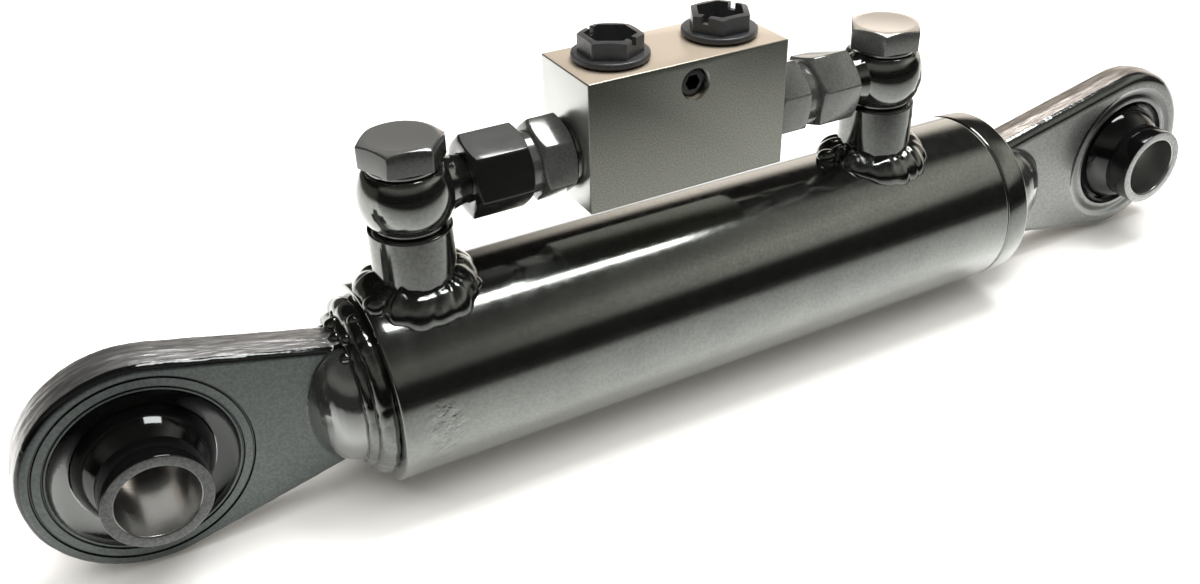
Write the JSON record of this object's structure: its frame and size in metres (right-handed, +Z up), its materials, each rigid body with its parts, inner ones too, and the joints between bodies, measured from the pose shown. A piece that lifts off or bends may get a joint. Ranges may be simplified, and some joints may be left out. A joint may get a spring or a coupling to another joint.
{
  "type": "hydraulic tractor top link",
  "caption": "Hydraulic cylinder with a swivelling ball eye at each end and a locking check valve piped on top; sets the angle of a rear implement.",
  "frame": {"origin": "under the middle of the retracted link, on the level that both eye rims stand on", "axes": "+X along the barrel from the base eye to the rod eye, +Y along the eye bores and away from the front of the valve block, +Z up through the port bosses"},
  "size_m": [0.5082, 0.07, 0.1432],
  "materials": {
    "barrel_paint": "gloss black paint over welded steel tube",
    "forging_paint": "black paint over a rough forging",
    "boss_paint": "gloss black paint over a weld bead",
    "fitting_paint": "gloss black paint over machined steel",
    "washer_paint": "gloss black paint",
    "valve_paint": "satin black paint over a milled block",
    "screw_paint": "black",
    "ball_steel": "polished dark steel",
    "chrome_rod": "hard chrome, ground",
    "bare_steel": "turned steel",
    "spring_steel": "drawn wire",
    "black_rubber": "nitrile rubber",
    "seal_green": "polyurethane",
    "bronze_ring": "bronze-filled plastic strip",
    "plug_plastic": "moulded plastic"
  },
  "bodies": {
    "barrel": {"barrel_tube": "barrel_paint", "base_cap": "barrel_paint", "gland": "barrel_paint", "base_eye": "forging_paint", "base_port_boss": "boss_paint", "rod_port_boss": "boss_paint", "base_banjo_bolt": "fitting_paint", "rod_banjo_bolt": "fitting_paint", "base_banjo": "fitting_paint", "rod_banjo": "fitting_paint", "base_union_nut": "fitting_paint", "rod_union_nut": "fitting_paint", "base_stud_adapter": "fitting_paint", "rod_stud_adapter": "fitting_paint", "base_seal_washer_lower": "washer_paint", "base_seal_washer_upper": "washer_paint", "rod_seal_washer_lower": "washer_paint", "rod_seal_washer_upper": "washer_paint", "base_adapter_seal": "washer_paint", "rod_adapter_seal": "washer_paint", "valve_block": "valve_paint", "front_plug_screw": "screw_paint", "base_cutting_ring": "bare_steel", "rod_cutting_ring": "bare_steel", "base_valve_seat": "bare_steel", "rod_valve_seat": "bare_steel", "base_poppet_spring": "spring_steel", "rod_poppet_spring": "spring_steel", "gland_o_ring": "black_rubber", "rod_wiper": "black_rubber", "rod_seal": "seal_green", "rod_guide_ring": "bronze_ring", "base_port_plug": "plug_plastic", "rod_port_plug": "plug_plastic"},
    "piston_rings": {"piston_seal": "seal_green", "piston_wear_ring_base": "bronze_ring", "piston_wear_ring_rod": "bronze_ring"},
    "rod": {"piston_rod": "chrome_rod", "piston": "bare_steel", "piston_nut": "bare_steel", "piston_rod_seal": "black_rubber", "rod_eye": "forging_paint"},
    "base_ball": {"base_ball": "ball_steel"},
    "rod_ball": {"rod_ball": "ball_steel"},
    "pilot_spool": {"pilot_spool": "bare_steel"},
    "base_poppet": {"base_check_poppet": "bare_steel"},
    "rod_poppet": {"rod_check_poppet": "bare_steel"}
  },
  "joints": [
    {"name": "rod_slide", "type": "slide", "parent": "barrel", "child": "piston_rings", "axis": [1, 0, 0], "range_m": [0, 0.15]},
    {"name": "rod_spin", "type": "hinge", "parent": "piston_rings", "child": "rod", "pos_m": [-0.09115, 0, 0.038], "axis": [1, 0, 0], "continuous": true},
    {"name": "base_ball_swivel", "type": "hinge", "parent": "barrel", "child": "base_ball", "pos_m": [-0.21615, 0, 0.038], "axis": [0, 0, 1], "range_deg": [-18, 18]},
    {"name": "rod_ball_swivel", "type": "hinge", "parent": "rod", "child": "rod_ball", "pos_m": [0.21615, 0, 0.038], "axis": [0, 0, 1], "range_deg": [-18, 18]},
    {"name": "pilot_spool_travel", "type": "slide", "parent": "barrel", "child": "pilot_spool", "axis": [1, 0, 0], "range_m": [-0.0013, 0.0013]},
    {"name": "base_poppet_lift", "type": "slide", "parent": "barrel", "child": "base_poppet", "axis": [-1, 0, 0], "range_m": [0, 0.0013], "stiffness_N_per_m": 600, "springref_m": -0.002, "deforming": ["base_poppet_spring"]},
    {"name": "rod_poppet_lift", "type": "slide", "parent": "barrel", "child": "rod_poppet", "axis": [1, 0, 0], "range_m": [0, 0.0013], "stiffness_N_per_m": 600, "springref_m": -0.002, "deforming": ["rod_poppet_spring"]}
  ]
}
